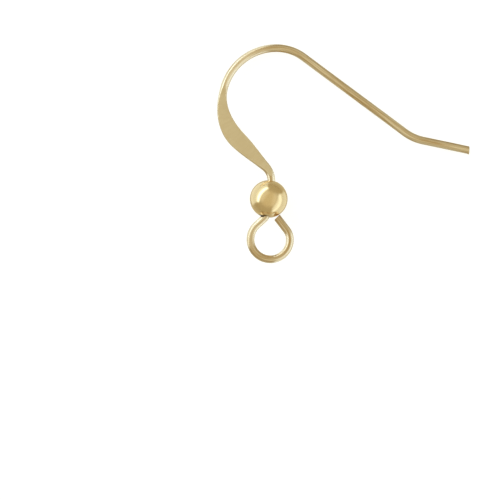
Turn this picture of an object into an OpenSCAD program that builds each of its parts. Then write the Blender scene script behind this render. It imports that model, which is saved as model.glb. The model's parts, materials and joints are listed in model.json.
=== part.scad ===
// Ear wire with a bead, lying on a flat surface.
// One piece of round wire makes the open loop, the neck, the flattened shank, the hook and the tail.
// A hollow bead is threaded on the wire between the loop and the shank, and turns freely there.

/* [Wire] */
// Diameter of the round wire
wire_d = 0.64; // [0.5:0.01:0.8]

/* [Hook] */
// Radius of the round of the hook, to the middle of the wire
hook_r = 4.5; // [3.5:0.1:6]
// Radius of the crown, where the round runs over into the back
crown_r = 3.7; // [2.5:0.1:6]
// Fall of the straight back, in degrees below level
back_fall = 36.7; // [28:0.1:48]
// Length of the straight back, behind the ear
back_l = 10.4; // [7:0.1:14]
// Radius of the soft bend between the back and the tail
tail_bend_r = 3.9; // [2:0.1:6]
// Fall of the tail, in degrees below level
tail_fall = 11.7; // [0:0.1:20]
// Length of the straight tail
tail_l = 3.9; // [3:0.1:7]

/* [Shank] */
// Width of the flattened shank at its widest
flat_w = 1.45; // [1:0.05:2]
// Thickness of the flattened shank at its thinnest
flat_t = 0.24; // [0.2:0.01:0.45]
// Length of the wire that is flattened
flat_l = 8.9; // [6:0.1:10]
// Round wire left between the bead and the flattening
neck_l = 0.3; // [0.2:0.05:0.8]
// Radius of the bend above the bead
neck_r = 1.63; // [1.5:0.01:3]
// Lean of the middle of the shank, in degrees from upright
shank_lean = 45.7; // [30:0.1:55]
// Length of the straight middle of the shank
shank_l = 3.04; // [1.5:0.01:5]

/* [Bead] */
// Diameter of the bead
bead_d = 3.1; // [2.5:0.1:4]
// Thickness of the bead's wall
bead_wall = 0.25; // [0.15:0.01:0.4]
// Gap all round between the wire and the bead's holes
bore_gap = 0.15; // [0.12:0.01:0.3]
// Lean of the wire through the bead, in degrees from upright
bead_lean = 9; // [4:0.1:15]

/* [Loop] */
// Clear width of the loop
loop_d = 2.6; // [2:0.1:4]
// Straight leg between the bead and the round of the loop
leg_l = 0.78; // [0.7:0.01:2]
// Turn of the wire as it leaves the bead, in degrees
leg_turn = 38.7; // [25:0.1:40]
// Radius of that turn
leg_r = 0.65; // [0.5:0.05:1]
// Turn of the round of the loop, in degrees
loop_turn = 229; // [215:0.1:235]
// Radius of the bend that closes the loop
close_r = 1.34; // [0.6:0.01:1.6]
// Gap between the cut end of the loop and the bead
end_gap = 0.08; // [0.05:0.01:0.3]

/* [Hidden] */
$fn = 64;

wire_r = wire_d / 2;
bead_r = bead_d / 2;
loop_r = loop_d / 2 + wire_r;
hole_r = wire_r + bore_gap;
// Distance from the middle of the bead to the rim of each hole
rim = sqrt(pow(bead_r, 2) - pow(hole_r, 2));
// The wire starts to bend inside the holes, so its bent leg passes the rim at only this share of the gap.
rim_share = 0.4;
bend_depth = (leg_r - wire_r - rim_share * bore_gap - (leg_r - hole_r) * cos(leg_turn)) / sin(leg_turn);
bead_run = rim - bend_depth;

// A leg of the wire is its length along the middle and its turn, with left turns positive.
function straight(length) = [length, 0];
function bend(radius, turn) = [radius * abs(turn) * PI / 180, turn];
function bend_radius(leg) = leg[0] * 180 / PI / leg[1];
function shortened(leg, length) = [length, leg[1] * length / leg[0]];
function reversed(leg) = [leg[0], -leg[1]];
function total(legs, i = 0) = i == len(legs) ? 0 : legs[i][0] + total(legs, i + 1);

// A place on the wire is x, y and heading in the plane of the hook, from the middle of the bead.
function point(at) = [at[0], at[1]];
function ahead(at) = [cos(at[2]), sin(at[2])];
function left(at) = [-sin(at[2]), cos(at[2])];
function around(at, radius, turn) = [
    at[0] + radius * (sin(at[2] + turn) - sin(at[2])),
    at[1] - radius * (cos(at[2] + turn) - cos(at[2])),
    at[2] + turn
];
function along(at, length) = [each point(at) + length * ahead(at), at[2]];
function after(at, leg) = leg[1] == 0 ? along(at, leg[0]) : around(at, bend_radius(leg), leg[1]);
function walk(legs, at, s, i = 0) = i == len(legs) - 1 || s <= legs[i][0]
    ? after(at, shortened(legs[i], s))
    : walk(legs, after(at, legs[i]), s - legs[i][0], i + 1);

// Downwards from the bead: leg and round of the loop
bead_down = [0, 0, -90 - bead_lean];
open_legs = [
    straight(bead_run),
    bend(leg_r, -leg_turn),
    straight(leg_l),
    bend(loop_r, loop_turn)
];
round_end = walk(open_legs, bead_down, total(open_legs));

// The end of the loop bends in until it points inside the bead, this share of its radius below its middle.
aim_share = 1 / 3;
aim = aim_share * bead_r * ahead(bead_down);
to_aim = aim - point(round_end) - close_r * left(round_end);
end_heading = atan2(to_aim[1], to_aim[0]) - acos(close_r / norm(to_aim)) + 90;
close_turn = (end_heading - round_end[2] + 720) % 360;
end_start = after(round_end, bend(close_r, close_turn));
// The corner of the cut end that comes nearest to the bead stops at the gap.
near_side = point(end_start) - wire_r * left(end_start);
near_run = near_side * ahead(end_start);
end_l = -near_run - sqrt(pow(near_run, 2) - near_side * near_side + pow(bead_r + end_gap, 2));
lower_legs = concat(open_legs, [bend(close_r, close_turn), straight(end_l)]);
cut_end = walk(lower_legs, bead_down, total(lower_legs));

// The whole wire, from the cut end of the loop through the bead to the tip of the tail
hook_legs = [
    bend(neck_r, bead_lean + shank_lean),
    straight(shank_l),
    bend(hook_r, -90 - shank_lean),
    bend(crown_r, -back_fall),
    straight(back_l),
    bend(tail_bend_r, back_fall - tail_fall),
    straight(tail_l)
];
legs = concat(
    [for (i = [len(lower_legs) - 1 : -1 : 1]) reversed(lower_legs[i])],
    [straight(2 * bead_run)],
    hook_legs
);
start = [each point(cut_end), cut_end[2] - 180];
wire_l = total(legs);
bead_at = total(lower_legs);
function place(s) = walk(legs, start, s);

// Flattened shank: an ellipse as high as the wire, cut by two flats that close in on each other
flat_start = bead_at + bead_r + neck_l;
flat_end = flat_start + flat_l;
// The flattening is widest past its middle where this is above 1, and before it where it is below 1.
skew = 0.97;
// Below 1, the flats begin early and grow faster than the width.
press_lead = 0.35;
function flat_share(s) = min(max((s - flat_start) / flat_l, 0), 1);
function swell(s) = pow(sin(180 * pow(flat_share(s), skew)), 2);
function half_width(s) = (wire_d + (flat_w - wire_d) * swell(s)) / 2;
function half_thick(s) = (wire_d - (wire_d - flat_t) * pow(swell(s), press_lead)) / 2;

// Rest on a flat surface: the bead, the tip of the tail and the crown touch it.
tip = place(wire_l);
crown_at = bead_at + bead_run + total([for (i = [0 : 2]) hook_legs[i]]);
to_tip = point(tip) - point(place(crown_at)) + crown_r * left(place(crown_at));
touch = [each point(tip), atan2(to_tip[1], to_tip[0]) + acos(crown_r / norm(to_tip)) - 90];
tilt = asin((bead_r - wire_r) / (point(tip) * left(touch)));

// Seen from above, the part's box is centred on the origin.
samples = 400;
function plan(p) = let (q = p - point(tip))
    (q * ahead(touch)) * ahead(touch) + (q * left(touch)) * cos(tilt) * left(touch);
outline = [
    for (i = [0 : samples], side = [-1, 1]) let (s = wire_l * i / samples)
        plan(point(place(s)) + side * half_width(s) * left(place(s)))
];
xs = [for (p = outline) p[0]];
ys = [for (p = outline) p[1]];
centre = [min(xs) + max(xs), min(ys) + max(ys)] / 2;

module laid_down() {
    translate([-centre[0], -centre[1], wire_r])
        rotate([0, 0, touch[2]])
            rotate([-tilt, 0, 0])
                rotate([0, 0, -touch[2]])
                    translate([-tip[0], -tip[1], 0])
                        children();
}

module placed(at) {
    translate([at[0], at[1], 0])
        rotate([0, 0, at[2]])
            children();
}

module leg_solid(leg, thick) {
    if (leg[1] == 0)
        rotate([0, 90, 0])
            cylinder(d = thick, h = leg[0]);
    else
        mirror([0, leg[1] < 0 ? 1 : 0, 0])
            translate([0, abs(bend_radius(leg)), 0])
                rotate([0, 0, -90])
                    rotate_extrude(angle = abs(leg[1]))
                        translate([abs(bend_radius(leg)), 0])
                            circle(d = thick);
}

// Every other leg is a hair thinner and runs a little way into its neighbours, so that all join cleanly.
inset = 0.995;
sink = 0.05;

// Round wire from one length to another
module round_wire(from, to) {
    for (i = [0 : len(legs) - 1]) {
        before = total([for (k = [0 : 1 : i - 1]) legs[k]]);
        low = max(from, before);
        high = min(to, before + legs[i][0]);
        thin = i % 2 == 1;
        back = thin ? sink : 0;
        if (high > low)
            placed(after(place(low), shortened(legs[i], -back)))
                leg_solid(shortened(legs[i], high - low + 2 * back), wire_d * (thin ? inset : 1));
    }
}

// The flattened shank's first and last rings sink into the round wire.
shank_rings = 36;
ring_sides = 32;
ring_places = [
    flat_start - sink,
    for (i = [1 : shank_rings - 1]) flat_start + flat_l * (1 - cos(180 * i / shank_rings)) / 2,
    flat_end + sink
];
function ring(s) = let (
    at = place(s),
    fit = inset * inset + (1 - inset * inset) * swell(s)
) [
    for (k = [0 : ring_sides - 1]) let (
        a = 360 * (k + 0.5) / ring_sides,
        side = fit * half_width(s) * cos(a),
        up = fit * min(max(wire_r * sin(a), -half_thick(s)), half_thick(s))
    ) [each point(at) + side * left(at), up]
];

module flat_shank() {
    last = (len(ring_places) - 1) * ring_sides;
    polyhedron(
        points = [for (s = ring_places) each ring(s)],
        faces = [
            [for (k = [0 : ring_sides - 1]) k],
            [for (k = [0 : ring_sides - 1]) last + ring_sides - 1 - k],
            for (a = [0 : ring_sides : last - 1], k = [0 : ring_sides - 1]) let (
                n = (k + 1) % ring_sides,
                b = a + ring_sides
            ) each [[a + k, b + k, b + n], [a + k, b + n, a + n]]
        ]
    );
}

module ear_hook() {
    color("#D9BC83")
        laid_down() {
            round_wire(0, flat_start);
            flat_shank();
            round_wire(flat_end, wire_l);
        }
}

module ball_bead() {
    color("#D2B06A")
        laid_down()
            placed([0, 0, bead_down[2]])
                rotate([0, 90, 0])
                    difference() {
                        sphere(r = bead_r);
                        sphere(r = bead_r - bead_wall);
                        cylinder(r = hole_r, h = 2 * bead_d, center = true);
                    }
}

ear_hook();
ball_bead();
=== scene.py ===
import json
from math import ceil, cos, pi, radians, sin, sqrt, tan

import bpy
from mathutils import Matrix, Quaternion, Vector

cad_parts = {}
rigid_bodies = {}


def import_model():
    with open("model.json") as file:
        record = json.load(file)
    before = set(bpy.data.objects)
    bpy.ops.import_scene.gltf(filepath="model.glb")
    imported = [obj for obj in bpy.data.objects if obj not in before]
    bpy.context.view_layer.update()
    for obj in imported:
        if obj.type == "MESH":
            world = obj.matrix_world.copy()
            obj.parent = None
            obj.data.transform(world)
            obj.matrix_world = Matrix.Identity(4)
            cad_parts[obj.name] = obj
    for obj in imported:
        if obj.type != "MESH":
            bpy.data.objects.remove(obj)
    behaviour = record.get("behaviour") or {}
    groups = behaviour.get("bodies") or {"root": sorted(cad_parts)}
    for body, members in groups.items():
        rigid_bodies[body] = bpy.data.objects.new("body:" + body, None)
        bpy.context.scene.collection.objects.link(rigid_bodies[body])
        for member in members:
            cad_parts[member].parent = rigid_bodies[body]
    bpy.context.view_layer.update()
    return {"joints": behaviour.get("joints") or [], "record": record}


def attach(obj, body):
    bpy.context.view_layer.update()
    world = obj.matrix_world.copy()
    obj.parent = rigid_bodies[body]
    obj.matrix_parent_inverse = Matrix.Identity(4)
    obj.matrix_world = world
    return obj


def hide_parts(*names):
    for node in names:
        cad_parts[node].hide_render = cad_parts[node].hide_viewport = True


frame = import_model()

# The ear wire is modelled in millimetres, flat in its own plane with the middle of the bead at the
# origin, and then laid down where the frame has it.
mm = 0.001
tiny = 0.001  # millimetres; places closer than this are taken as the same
smoothAngle = radians(40)  # sharper edges than this stay sharp
spin = frame["joints"][0]  # the bead turns on the wire
mounts = {mount["name"]: mount for mount in frame["record"]["mounts"]}
beadCentre = Vector(spin["pos_m"])
wireUp = Vector(spin["axis"]).normalized()  # along the wire in the bead, towards the shank
planeUp = Vector(mounts["loop_eye"]["axis"]).normalized()


# Shared helpers

# sRGB hex to linear
def hexColour(code):
    parts = [int(code[i:i + 2], 16) / 255 for i in (1, 3, 5)]
    return [v / 12.92 if v <= 0.04045 else ((v + 0.055) / 1.055) ** 2.4 for v in parts] + [1.0]


def deselectAll():
    if bpy.context.object and bpy.context.object.mode == "EDIT":
        bpy.ops.object.mode_set(mode="OBJECT")
    bpy.ops.object.select_all(action="DESELECT")


def makeActive(thing):
    deselectAll()
    thing.select_set(True)
    bpy.context.view_layer.objects.active = thing


# Selects only what passes the test, and leaves the piece in edit mode
def pick(thing, kind, test):
    makeActive(thing)
    bpy.ops.object.mode_set(mode="EDIT")
    bpy.context.tool_settings.mesh_select_mode = [kind == k for k in ("VERT", "EDGE", "FACE")]
    bpy.ops.mesh.select_all(action="DESELECT")
    bpy.ops.object.mode_set(mode="OBJECT")
    mesh = thing.data
    items = {"VERT": mesh.vertices, "EDGE": mesh.edges, "FACE": mesh.polygons}[kind]
    for item in items:
        item.select = bool(test(item))
    bpy.ops.object.mode_set(mode="EDIT")


# Values and links go to the node's inputs, and settings to the node itself
def addNode(tree, kind, values=None, links=None, **settings):
    node = tree.nodes.new(kind)
    for name, value in settings.items():
        setattr(node, name, value)
    for name, value in (values or {}).items():
        node.inputs[name].default_value = value
    for name, source in (links or {}).items():
        tree.links.new(source, node.inputs[name])
    return node


def newMaterial(name):
    material = bpy.data.materials.new(name)
    material.use_nodes = True
    tree = material.node_tree
    tree.nodes.clear()
    return material, tree


# Camera: straight above the middle of the picture

view = {
    "pictureMm": 41.32,       # width of the picture on the floor
    "rightOfBeadMm": -1.541,  # middle of the picture, from the middle of the bead
    "aboveBeadMm": -4.196,
    "distance": 0.3,
    "sensorMm": 36,
    "nearest": 0.01,
    "furthest": 10,
}


def placeCamera():
    camera = bpy.data.cameras.new("overheadCamera")
    camera.sensor_width = view["sensorMm"]
    camera.lens = view["sensorMm"] * view["distance"] / (view["pictureMm"] * mm)
    camera.clip_start, camera.clip_end = view["nearest"], view["furthest"]
    thing = bpy.data.objects.new("overheadCamera", camera)
    thing.location = (
        beadCentre.x + view["rightOfBeadMm"] * mm,
        beadCentre.y + view["aboveBeadMm"] * mm,
        view["distance"],
    )
    bpy.context.scene.collection.objects.link(thing)
    bpy.context.scene.camera = thing


# Floor, lights and surroundings: a pale clear sheet in a warm room, between cool soft boxes that
# stand at the two sides and reach below it

studio = {
    "floorSize": 6.0,
    "sheet": "#AAAAAA",
    "sheetLift": 0.8,      # how much the camera's exposure lifts the sheet towards white
    "sheetClear": 0.85,    # how much of what is below the sheet shows in the metal
    # Tone of the room from straight below to straight above
    "room": {
        0.0: "#DBD4B6",
        0.33: "#C2BC9E",
        0.52: "#B9B191",
        0.75: "#BEB698",
        0.9: "#D6CEAF",
        1.0: "#D7D0B0",
    },
    "boxTone": "#D6EEFF",
    "boxDistance": 0.5,
    # Where each box stands, its size, and how far it fades in from its ends and its long edges
    "boxes": {
        "leftStrip": {"azimuth": 145, "height": 28, "lean": 0, "width": 1.36, "depth": 0.34,
                      "glow": 1.4, "softEnds": 0.15, "softEdges": 0.5},
        "leftPanel": {"azimuth": 145, "height": -10, "lean": 0, "width": 1.45, "depth": 1.2,
                      "glow": 0.71, "softEnds": 0.15, "softEdges": 0.15},
        "leftHaze": {"azimuth": 145, "height": 42, "lean": 0, "width": 1.2, "depth": 0.8,
                     "glow": 0.25, "softEnds": 0.3, "softEdges": 0.5},
        "rightStrip": {"azimuth": -26, "height": 11, "lean": 8, "width": 1.48, "depth": 0.34,
                       "glow": 0.48, "softEnds": 0.15, "softEdges": 0.5},
        "rightPanel": {"azimuth": -26, "height": -9, "lean": 0, "width": 1.45, "depth": 1.235,
                       "glow": 0.6, "softEnds": 0.2, "softEdges": 0.2},
        "rightHaze": {"azimuth": -12, "height": 42, "lean": 0, "width": 1.2, "depth": 0.8,
                      "glow": 0.2, "softEnds": 0.3, "softEdges": 0.5},
    },
}


# The camera sees a bright white sheet, and the metal sees a clear one with the boxes below it.
def makeFloor():
    deselectAll()
    bpy.ops.mesh.primitive_plane_add(size=studio["floorSize"])
    floor = bpy.context.object
    floor.name = "floor"
    material, tree = newMaterial("whiteSheet")
    path = addNode(tree, "ShaderNodeLightPath")
    sheet = addNode(tree, "ShaderNodeBsdfDiffuse", {"Color": hexColour(studio["sheet"])})
    lift = addNode(tree, "ShaderNodeEmission", {"Strength": studio["sheetLift"]})
    clear = addNode(tree, "ShaderNodeBsdfTransparent")
    shown = addNode(tree, "ShaderNodeAddShader", None, {0: sheet.outputs[0], 1: lift.outputs[0]})
    around = addNode(tree, "ShaderNodeMixShader", {0: studio["sheetClear"]},
                     {1: sheet.outputs[0], 2: clear.outputs[0]})
    both = addNode(tree, "ShaderNodeMixShader", None,
                   {0: path.outputs["Is Camera Ray"], 1: around.outputs[0], 2: shown.outputs[0]})
    addNode(tree, "ShaderNodeOutputMaterial", None, {"Surface": both.outputs[0]})
    floor.data.materials.append(material)


# A soft box fades towards its edges, as one with a lamp behind its cloth does
def makeBox(name, box):
    light = bpy.data.lights.new(name, "AREA")
    light.shape = "RECTANGLE"
    light.size, light.size_y = box["width"], box["depth"]
    light.energy = box["glow"] * pi * box["width"] * box["depth"]
    light.use_nodes = True
    tree = light.node_tree
    tree.nodes.clear()
    where = addNode(tree, "ShaderNodeNewGeometry")
    split = addNode(tree, "ShaderNodeSeparateXYZ", None, {0: where.outputs["Parametric"]})
    fades = []
    for side, soft in (("X", box["softEnds"]), ("Y", box["softEdges"])):
        # 0 at both edges and 0.5 in the middle
        edge = addNode(tree, "ShaderNodeMath", {1: 0.5}, {0: split.outputs[side]},
                       operation="PINGPONG")
        fades.append(addNode(tree, "ShaderNodeMapRange", {"From Max": soft},
                             {"Value": edge.outputs[0]}, interpolation_type="SMOOTHSTEP"))
    fade = addNode(tree, "ShaderNodeMath", None, {0: fades[0].outputs[0], 1: fades[1].outputs[0]},
                   operation="MULTIPLY")
    glow = addNode(tree, "ShaderNodeEmission", {"Color": hexColour(studio["boxTone"])},
                   {"Strength": fade.outputs[0]})
    addNode(tree, "ShaderNodeOutputLight", None, {0: glow.outputs[0]})
    thing = bpy.data.objects.new(name, light)
    azimuth, height = radians(box["azimuth"]), radians(box["height"])
    away = Vector((cos(azimuth) * cos(height), sin(azimuth) * cos(height), sin(height)))
    thing.location = beadCentre + away * studio["boxDistance"]
    lean = Quaternion((0, 0, 1), radians(box["lean"]))
    thing.rotation_euler = ((-away).to_track_quat("-Z", "Y") @ lean).to_euler()
    thing.visible_camera = False
    bpy.context.scene.collection.objects.link(thing)


def makeSurroundings():
    world = bpy.data.worlds.new("softRoom")
    bpy.context.scene.world = world
    world.use_nodes = True
    tree = world.node_tree
    tree.nodes.clear()
    where = addNode(tree, "ShaderNodeTexCoord")
    split = addNode(tree, "ShaderNodeSeparateXYZ", None, {0: where.outputs["Generated"]})
    height = addNode(tree, "ShaderNodeMapRange", {"From Min": -1.0}, {"Value": split.outputs["Z"]})
    shade = addNode(tree, "ShaderNodeValToRGB", None, {"Fac": height.outputs[0]})
    stops = shade.color_ramp.elements
    while len(stops) < len(studio["room"]):
        stops.new(1.0)
    for stop, (position, tone) in zip(stops, studio["room"].items()):
        stop.position, stop.color = position, hexColour(tone)
    glow = addNode(tree, "ShaderNodeBackground", {"Strength": 1.0},
                   {"Color": shade.outputs["Color"]})
    addNode(tree, "ShaderNodeOutputWorld", None, {"Surface": glow.outputs[0]})


# The wire: one length of round stock, pressed flat along the shank and then bent to shape

wire = {
    "diameter": 0.64,
    "sides": 64,
    "ringSpacing": 0.06,
    # Legs from the middle of the bead down to the cut end of the loop: length or radius, and turn
    "down": [("run", 1.27), ("bend", 0.65, -38.7), ("run", 0.78), ("bend", 1.62, 229),
             ("bend", 1.34, 35.86), ("run", 1.335)],
    # Legs from the middle of the bead up to the tip of the tail
    "up": [("run", 1.27), ("bend", 1.63, 54.7), ("run", 3.04), ("bend", 4.5, -135.7),
           ("bend", 3.7, -36.7), ("run", 10.4), ("bend", 3.9, 25.0), ("run", 3.83)],
    "heading": 81,         # of the wire through the bead, in degrees
    "mostTurn": 30,        # of one piece of the path, in degrees
    "pathSteps": 48,
    # The edge of each cut end is worn round: how wide that is, and how far it is set back
    "endRound": 0.03,
    "endSetBack": 0.021,
    # The end of the loop was cut a little askew, and is shorter on the inside.
    "cutSlant": 0.09,
    "cutLength": 0.4,
    # The tail was nipped off a little askew, and its lower corner was dragged outwards.
    "nipSlant": 0.1,
    "burr": 0.06,
    "burrLength": 0.3,
    "burrSharpness": 4,
}

shank = {
    "start": 1.85,      # from the middle of the bead
    "length": 8.9,
    "width": 1.45,
    "thickness": 0.24,
    "skew": 0.97,       # under 1, it is widest before its middle
    "pressLead": 0.35,  # under 1, the flats begin early and grow faster than the width
    "slant": 0.4,       # the flats reach a little further on the inside of the hook
    "fullness": 0.6,    # how square the pressed edges are
    "flatNormal": 0.7,  # a pressed face points up or down at least this much
}


def legLength(leg):
    return leg[1] if leg[0] == "run" else leg[1] * radians(abs(leg[2]))


# Bezier knots along the legs: place, heading and the length of the handle on each side
def walkLegs(legs, heading):
    knots = [[Vector((0, 0)), radians(heading), 0, 0]]
    for leg in legs:
        pieces = 1 if leg[0] == "run" else ceil(abs(leg[2]) / wire["mostTurn"])
        for _ in range(pieces):
            place, way, _, _ = knots[-1]
            if leg[0] == "run":
                handle = leg[1] / 3
                end, endWay = place + leg[1] * Vector((cos(way), sin(way))), way
            else:
                radius, turn = leg[1], radians(leg[2]) / pieces
                side = 1 if turn > 0 else -1
                handle = 4 / 3 * tan(abs(turn) / 4) * radius  # makes the piece a round arc
                centre = place + side * radius * Vector((-sin(way), cos(way)))
                endWay = way + turn
                end = centre - side * radius * Vector((-sin(endWay), cos(endWay)))
            knots[-1][3] = handle
            knots.append([end, endWay, handle, 0])
    return knots


def makePath():
    down = walkLegs(wire["down"], wire["heading"] - 180)
    up = walkLegs(wire["up"], wire["heading"])
    back = [[place, way + pi, after, before] for place, way, before, after in reversed(down)]
    middle = [up[0][0], up[0][1], back[-1][2], up[0][3]]
    knots = back[:-1] + [middle] + up[1:]
    curve = bpy.data.curves.new("wirePath", "CURVE")
    curve.dimensions = "2D"
    curve.resolution_u = wire["pathSteps"]
    spline = curve.splines.new("BEZIER")
    spline.bezier_points.add(len(knots) - 1)
    for point, (place, way, before, after) in zip(spline.bezier_points, knots):
        along = Vector((cos(way), sin(way)))
        point.handle_left_type = point.handle_right_type = "FREE"
        point.co = place.to_3d()
        point.handle_left = (place - along * before).to_3d()
        point.handle_right = (place + along * after).to_3d()
    path = bpy.data.objects.new("wirePath", curve)
    bpy.context.scene.collection.objects.link(path)
    return path


# A straight length of round wire along X, with a ring of verts every ringSpacing
def cutStock(length):
    deselectAll()
    radius = wire["diameter"] / 2
    bpy.ops.mesh.primitive_cylinder_add(
        vertices=wire["sides"], radius=radius, depth=length, end_fill_type="NGON",
        location=(length / 2, 0, 0), rotation=(0, pi / 2, 0))
    stock = bpy.context.object
    stock.name = stock.data.name = "hookWire"
    bpy.ops.object.transform_apply(location=True, rotation=True, scale=True)
    # The long edges are cut into coarse lengths and then into fine ones.
    coarse = round(sqrt(length / wire["ringSpacing"]))
    fine = ceil(length / wire["ringSpacing"] / coarse)
    for cuts in (coarse - 1, fine - 1):
        at = [vert.co.x for vert in stock.data.vertices]
        pick(stock, "EDGE", lambda e: abs(at[e.vertices[0]] - at[e.vertices[1]]) > tiny)
        bpy.ops.mesh.subdivide(number_cuts=cuts)
        bpy.ops.object.mode_set(mode="OBJECT")
    pick(stock, "FACE", lambda f: abs(f.normal.x) > 0.9)  # the two cut ends
    bpy.ops.mesh.inset(thickness=wire["endRound"])
    bpy.ops.object.mode_set(mode="OBJECT")
    for vert in stock.data.vertices:
        if sqrt(vert.co.y ** 2 + vert.co.z ** 2) > radius - tiny:
            if vert.co.x < tiny:
                vert.co.x = wire["endSetBack"]
            elif vert.co.x > length - tiny:
                vert.co.x = length - wire["endSetBack"]
    return stock


# Spreads the wire sideways along the shank and pushes it down on both faces
def pressShank(stock, beadAt):
    radius = wire["diameter"] / 2
    start = beadAt + shank["start"]

    def swell(x):
        share = min(max((x - start) / shank["length"], 0), 1)
        return sin(pi * share ** shank["skew"]) ** 2

    flats = set()
    for vert in stock.data.vertices:
        x, y, z = vert.co
        spread = swell(x)
        press = swell(x + shank["slant"] * y * (x - start) / shank["length"])
        limit = radius - (radius - shank["thickness"] / 2) * press ** shank["pressLead"]
        if press > 0 and abs(z) > limit:
            vert.co.z = limit if z > 0 else -limit
            flats.add(vert.index)
        side = min(abs(y / radius), 1) ** (1 - shank["fullness"] * spread)
        half = radius * (1 + (shank["width"] / wire["diameter"] - 1) * spread)
        vert.co.y = half * side if y > 0 else -half * side
    return flats


def cutLoopEnd(stock):
    for vert in stock.data.vertices:
        near = 1 - vert.co.x / wire["cutLength"]
        if near > 0:
            inner = 0.5 - vert.co.y / wire["diameter"]  # 1 on the inside of the loop
            vert.co.x += wire["cutSlant"] * inner * near


def nipTail(stock, length):
    for vert in stock.data.vertices:
        near = (vert.co.x - length) / wire["burrLength"] + 1
        if near > 0:
            low = (wire["diameter"] / 2 - vert.co.y) / wire["diameter"]  # 1 at the lower corner
            vert.co.x += wire["nipSlant"] * low * min(near, 1)
            vert.co.y -= wire["burr"] * (near * low) ** wire["burrSharpness"]


# From its own plane, in millimetres, to its place in the frame
def layDown(thing):
    across = Matrix.Rotation(radians(-wire["heading"]), 3, planeUp) @ wireUp
    turn = Matrix((across, planeUp.cross(across), planeUp)).transposed().to_4x4()
    thing.matrix_world = Matrix.Translation(beadCentre) @ turn @ Matrix.Scale(mm, 4)
    makeActive(thing)
    bpy.ops.object.transform_apply(location=True, rotation=True, scale=True)


def makeWire():
    beadAt = sum(legLength(leg) for leg in wire["down"])
    length = beadAt + sum(legLength(leg) for leg in wire["up"])
    stock = cutStock(length)
    straight = [c * mm for v in stock.data.vertices for c in v.co]
    flats = pressShank(stock, beadAt)
    cutLoopEnd(stock)
    nipTail(stock, length)
    # The patterns of the metal follow the straight stock, so they bend with the wire.
    place = stock.data.attributes.new("stock", "FLOAT_VECTOR", "POINT")
    place.data.foreach_set("vector", straight)
    stock.data.materials.append(drawnGold())
    stock.data.materials.append(pressedGold())
    stock.active_material_index = 1
    pick(stock, "FACE", lambda f: all(v in flats for v in f.vertices)
         and abs(f.normal.z) > shank["flatNormal"])
    bpy.ops.object.material_slot_assign()
    bpy.ops.mesh.region_to_loop()
    bpy.ops.mesh.mark_sharp()
    bpy.ops.object.mode_set(mode="OBJECT")
    path = makePath()
    makeActive(stock)
    follow = stock.modifiers.new("follow", "CURVE")
    follow.object, follow.deform_axis = path, "POS_X"
    bpy.ops.object.modifier_apply(modifier=follow.name)
    bpy.data.objects.remove(path)
    layDown(stock)
    bpy.ops.object.shade_smooth_by_angle(angle=smoothAngle)
    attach(stock, spin["parent"])
    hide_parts("ear_hook")
    print("wire:", len(stock.data.polygons), "faces")


# The bead: a thin round shell with a hole at each end

bead = {
    "diameter": 3.1,
    "hole": 0.94,
    "wall": 0.25,
    "lipRound": 0.03,
    "lipSteps": 3,
    "lipAngle": 50,
    "segments": 96,
    "rings": 64,
    # Painted shade of the gap between a hole and the wire: the gold turns dark brown close to the
    # wire, on one side of the bead only. How far from the wire it starts and ends, which side of
    # the bead it is on, and how far over to that side it starts and is full
    "stainAndShade": "#2E1A0C",
    "shadeFrom": 0.47,
    "shadeTo": 0.72,
    "shadeSide": (-0.85, -0.5, 0.15),
    "sideFrom": 0.55,
    "sideFull": 1.0,
}


def makeBead():
    deselectAll()
    radius = bead["diameter"] / 2
    rim = sqrt(radius ** 2 - (bead["hole"] / 2) ** 2)
    bpy.ops.mesh.primitive_uv_sphere_add(
        segments=bead["segments"], ring_count=bead["rings"], radius=radius)
    ball = bpy.context.object
    ball.name = ball.data.name = "goldBead"
    for side in (1, -1):
        pick(ball, "FACE", lambda f: True)
        bpy.ops.mesh.bisect(plane_co=(0, 0, side * rim), plane_no=(0, 0, side), clear_outer=True)
        bpy.ops.object.mode_set(mode="OBJECT")
    ball.data.materials.append(polishedGold())
    ball.data.materials.append(bareInside())
    shell = ball.modifiers.new("shell", "SOLIDIFY")
    shell.thickness, shell.offset, shell.material_offset = bead["wall"], -1, 1
    lip = ball.modifiers.new("lip", "BEVEL")
    lip.width, lip.segments = bead["lipRound"], bead["lipSteps"]
    lip.limit_method, lip.angle_limit = "ANGLE", radians(bead["lipAngle"])
    for modifier in (shell.name, lip.name):
        bpy.ops.object.modifier_apply(modifier=modifier)
    # The sphere's own axis goes along the wire.
    level = Matrix.Rotation(-pi / 2, 4, "X")
    ball.matrix_world = Matrix.Rotation(radians(wire["heading"] - 90), 4, "Z") @ level
    bpy.ops.object.transform_apply(location=True, rotation=True, scale=True)
    layDown(ball)
    bpy.ops.object.shade_smooth_by_angle(angle=smoothAngle)
    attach(ball, spin["child"])
    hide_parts("ball_bead")
    print("bead:", len(ball.data.polygons), "faces")


# Materials, with the sizes of their patterns in millimetres

# Gold-filled wire, drawn through a die and tumbled: bright, but the fine draw lines along it smear
# its reflections and streak its colour. Real lines are about 0.02 mm apart, too fine for the
# picture, so they are drawn coarser.
drawnFinish = {
    "dark": "#CDB084",
    "light": "#FFF1DA",
    "lineSpacing": 0.2,
    "lineLength": 4.35,
    # The pattern is shifted so that its streaks run darker along the loop and lighter on the round
    # of the hook: painted shade and painted highlight laid over the real streaks of the draw lines
    "lineShiftForShading": (1.37, 1.61, 0.3),
    "contrast": (0.35, 0.65),
    "lineDepth": 0.01,
    "roughness": 0.23,
    "anisotropy": 0.8,
}


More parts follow.
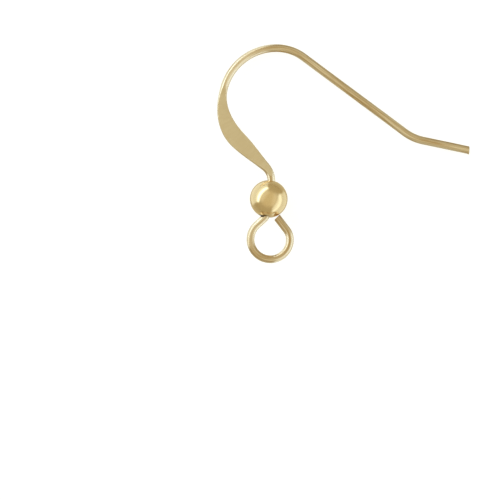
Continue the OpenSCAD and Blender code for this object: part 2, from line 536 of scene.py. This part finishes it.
def drawnGold():
    material, tree = newMaterial("drawnGoldFilledWire")
    low, high = drawnFinish["contrast"]
    along, across = 1 / (drawnFinish["lineLength"] * mm), 1 / (drawnFinish["lineSpacing"] * mm)
    where = addNode(tree, "ShaderNodeAttribute", attribute_name="stock")
    scaled = addNode(tree, "ShaderNodeMapping",
                     {"Location": drawnFinish["lineShiftForShading"], "Scale": (along, across, across)},
                     {"Vector": where.outputs["Vector"]})
    lines = addNode(tree, "ShaderNodeTexNoise", {"Scale": 1.0, "Detail": 3.0, "Roughness": 0.65},
                    {"Vector": scaled.outputs[0]})
    streak = addNode(tree, "ShaderNodeMapRange", {"From Min": low, "From Max": high},
                     {"Value": lines.outputs["Fac"]})
    tone = addNode(tree, "ShaderNodeMix",
                   {6: hexColour(drawnFinish["dark"]), 7: hexColour(drawnFinish["light"])},
                   {0: streak.outputs[0]}, data_type="RGBA")
    bump = addNode(tree, "ShaderNodeBump",
                   {"Strength": 0.6, "Distance": drawnFinish["lineDepth"] * mm},
                   {"Height": lines.outputs["Fac"]})
    around = addNode(tree, "ShaderNodeTangent", direction_type="UV_MAP", uv_map="UVMap")
    gold = addNode(tree, "ShaderNodeBsdfPrincipled",
                   {"Metallic": 1.0, "Roughness": drawnFinish["roughness"],
                    "Anisotropic": drawnFinish["anisotropy"]},
                   {"Base Color": tone.outputs[2], "Normal": bump.outputs[0],
                    "Tangent": around.outputs[0]})
    addNode(tree, "ShaderNodeOutputMaterial", None, {"Surface": gold.outputs[0]})
    return material


# The same wire pressed between flat dies: a satin face with a faint mottle
pressedFinish = {
    "dark": "#E3D0AD",
    "light": "#EDDDBF",
    "mottleSize": 0.53,
    "contrast": (0.3, 0.7),
    "roughness": 0.36,
}


def pressedGold():
    material, tree = newMaterial("pressedGoldFilledFlat")
    low, high = pressedFinish["contrast"]
    where = addNode(tree, "ShaderNodeAttribute", attribute_name="stock")
    mottle = addNode(tree, "ShaderNodeTexNoise",
                     {"Scale": 1 / (pressedFinish["mottleSize"] * mm), "Detail": 4.0,
                      "Roughness": 0.6},
                     {"Vector": where.outputs["Vector"]})
    patch = addNode(tree, "ShaderNodeMapRange", {"From Min": low, "From Max": high},
                    {"Value": mottle.outputs["Fac"]})
    tone = addNode(tree, "ShaderNodeMix",
                   {6: hexColour(pressedFinish["dark"]), 7: hexColour(pressedFinish["light"])},
                   {0: patch.outputs[0]}, data_type="RGBA")
    gold = addNode(tree, "ShaderNodeBsdfPrincipled",
                   {"Metallic": 1.0, "Roughness": pressedFinish["roughness"]},
                   {"Base Color": tone.outputs[2]})
    addNode(tree, "ShaderNodeOutputMaterial", None, {"Surface": gold.outputs[0]})
    return material


# Seamless hollow gold-filled bead, tumble polished: a mirror with the faintest of marks, which are
# drawn coarser than they are. Close to the wire, on one side of the bead, the gold is painted dark
# brown as painted shade of the gap between the hole and the wire.
polishedFinish = {
    "dark": "#EDD09F",
    "light": "#F3DAAD",
    "markSize": 0.2,
    "roughness": 0.14,
}


def polishedGold():
    material, tree = newMaterial("polishedGoldFilledBead")
    where = addNode(tree, "ShaderNodeTexCoord")
    marks = addNode(tree, "ShaderNodeTexNoise",
                    {"Scale": 1 / (polishedFinish["markSize"] * mm), "Detail": 3.0},
                    {"Vector": where.outputs["Object"]})
    tone = addNode(tree, "ShaderNodeMix",
                   {6: hexColour(polishedFinish["dark"]), 7: hexColour(polishedFinish["light"])},
                   {0: marks.outputs["Fac"]}, data_type="RGBA")
    # Painted shade: the gold is mixed towards dark brown close to the wire's line, and on one side
    # of the bead only, where the gap between the hole and the wire lies in shade
    fromCentre = addNode(tree, "ShaderNodeVectorMath", {1: beadCentre},
                         {0: where.outputs["Object"]}, operation="SUBTRACT")
    across = addNode(tree, "ShaderNodeVectorMath", {1: wireUp}, {0: fromCentre.outputs[0]},
                     operation="CROSS_PRODUCT")
    fromWire = addNode(tree, "ShaderNodeVectorMath", None, {0: across.outputs[0]},
                       operation="LENGTH")
    rim = addNode(tree, "ShaderNodeMapRange",
                  {"From Min": bead["shadeTo"] * mm, "From Max": bead["shadeFrom"] * mm},
                  {"Value": fromWire.outputs["Value"]}, interpolation_type="SMOOTHSTEP")
    leaning = addNode(tree, "ShaderNodeVectorMath", {1: bead["shadeSide"]},
                      {0: fromCentre.outputs[0]}, operation="DOT_PRODUCT")
    side = addNode(tree, "ShaderNodeMapRange",
                   {"From Min": bead["sideFrom"] * mm, "From Max": bead["sideFull"] * mm},
                   {"Value": leaning.outputs["Value"]}, interpolation_type="SMOOTHSTEP")
    stainAndShade = addNode(tree, "ShaderNodeMath", None, {0: rim.outputs[0], 1: side.outputs[0]},
                    operation="MULTIPLY")
    shadedTone = addNode(tree, "ShaderNodeMix", {7: hexColour(bead["stainAndShade"])},
                      {0: stainAndShade.outputs[0], 6: tone.outputs[2]}, data_type="RGBA")
    gold = addNode(tree, "ShaderNodeBsdfPrincipled",
                   {"Metallic": 1.0, "Roughness": polishedFinish["roughness"]},
                   {"Base Color": shadedTone.outputs[2]})
    addNode(tree, "ShaderNodeOutputMaterial", None, {"Surface": gold.outputs[0]})
    return material


# The brass core inside the bead, browned by soldering and never polished: dull and dark
insideFinish = {
    "dark": "#3A2815",
    "light": "#6B4C26",
    "stainSize": 0.4,
    "roughness": 0.6,
}


def bareInside():
    material, tree = newMaterial("bareBrassInside")
    where = addNode(tree, "ShaderNodeTexCoord")
    stainAndShade = addNode(tree, "ShaderNodeTexNoise",
                    {"Scale": 1 / (insideFinish["stainSize"] * mm), "Detail": 4.0},
                    {"Vector": where.outputs["Object"]})
    tone = addNode(tree, "ShaderNodeMix",
                   {6: hexColour(insideFinish["dark"]), 7: hexColour(insideFinish["light"])},
                   {0: stainAndShade.outputs["Fac"]}, data_type="RGBA")
    brass = addNode(tree, "ShaderNodeBsdfPrincipled",
                    {"Metallic": 1.0, "Roughness": insideFinish["roughness"]},
                    {"Base Color": tone.outputs[2]})
    addNode(tree, "ShaderNodeOutputMaterial", None, {"Surface": brass.outputs[0]})
    return material


placeCamera()
makeFloor()
for boxName, boxValues in studio["boxes"].items():
    makeBox(boxName, boxValues)
makeSurroundings()
bpy.context.scene.view_settings.view_transform = "Standard"
print("stage set")
makeWire()
makeBead()
